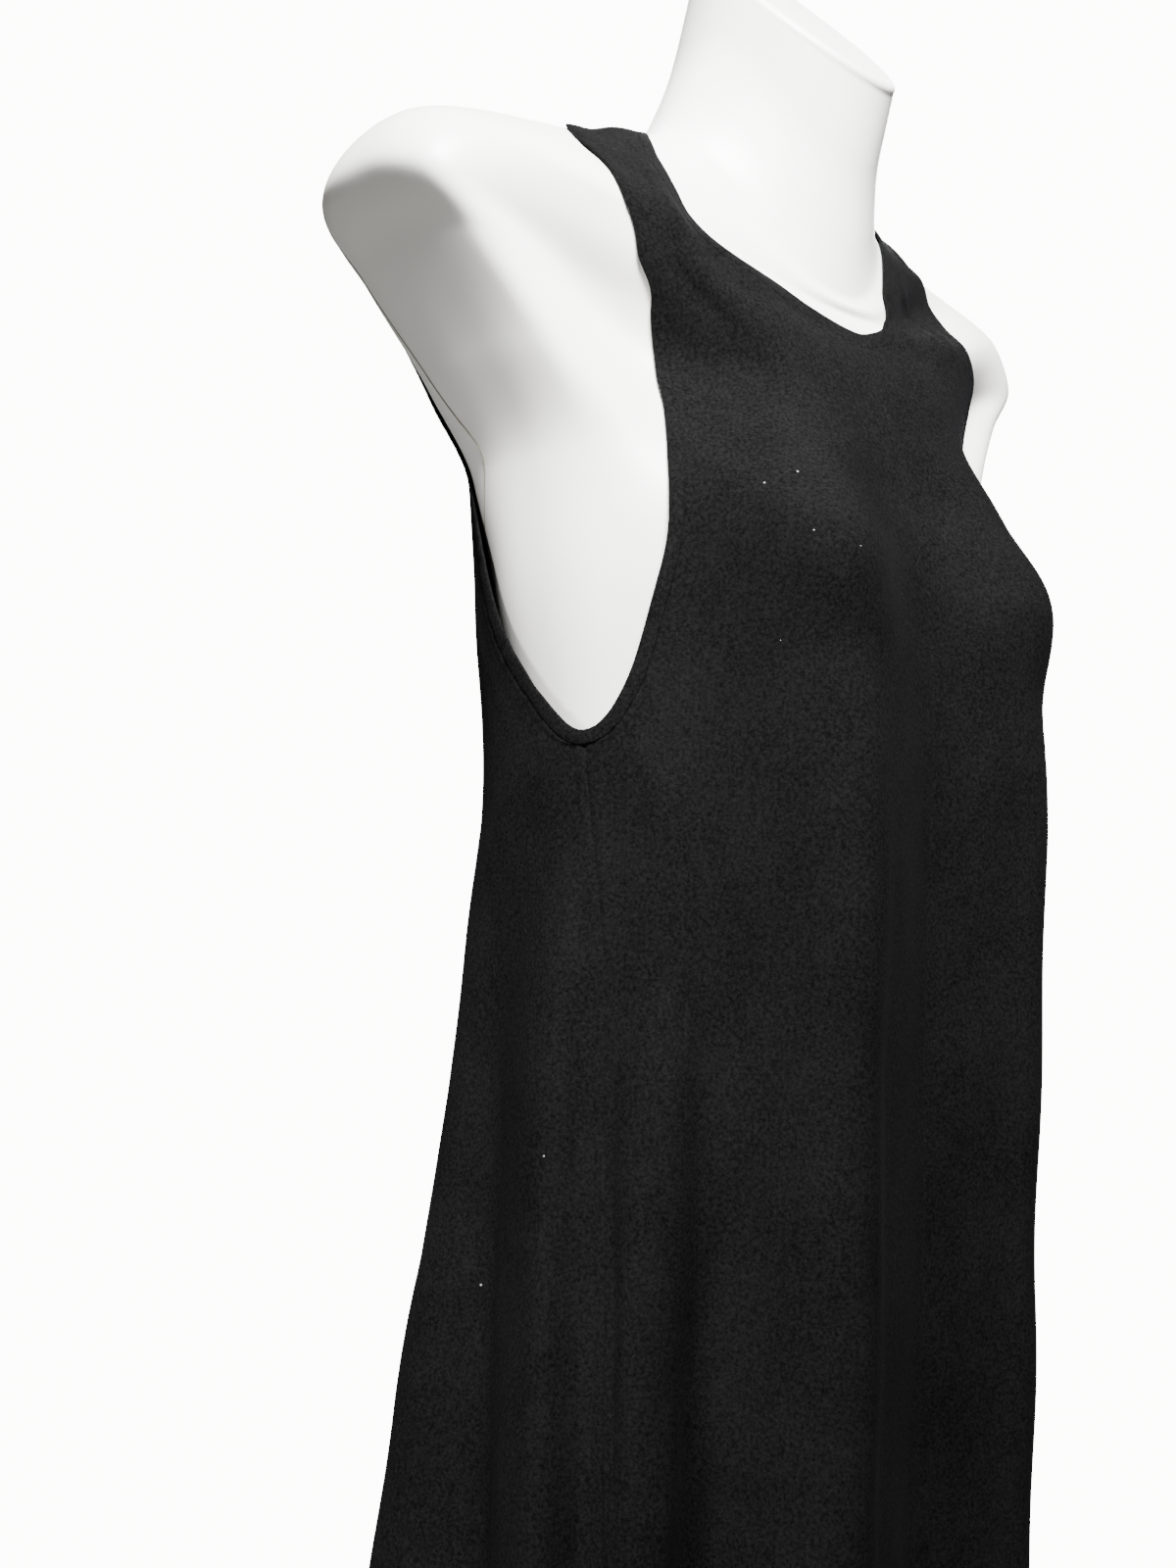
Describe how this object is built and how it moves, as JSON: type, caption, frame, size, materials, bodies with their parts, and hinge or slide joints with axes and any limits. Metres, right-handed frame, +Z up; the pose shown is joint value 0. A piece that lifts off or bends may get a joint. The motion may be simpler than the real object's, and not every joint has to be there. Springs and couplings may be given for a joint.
{
  "type": "trapeze dress on a dress form",
  "caption": "Sleeveless trapeze dress in soft black jersey, round neck, centre-front seam and deep hanging folds, worn on a white limbless dress form with a round stand.",
  "frame": {"origin": "centre of the base plate's underside, on the floor", "axes": "+Z up, -Y out of the dress's front, -X towards the wearer's right, which is the side nearest to the picture's camera"},
  "size_m": [0.462, 0.3312, 1.4879],
  "materials": {
    "jersey": "soft brushed black knit",
    "form_plastic": "satin white",
    "stand_steel": "brushed"
  },
  "bodies": {
    "root": {"front_right": "jersey", "front_left": "jersey", "back": "jersey", "neck_band": "jersey", "armhole_band_right": "jersey", "armhole_band_left": "jersey", "dress_form": "form_plastic", "pole": "stand_steel", "base_plate": "stand_steel"}
  },
  "joints": []
}
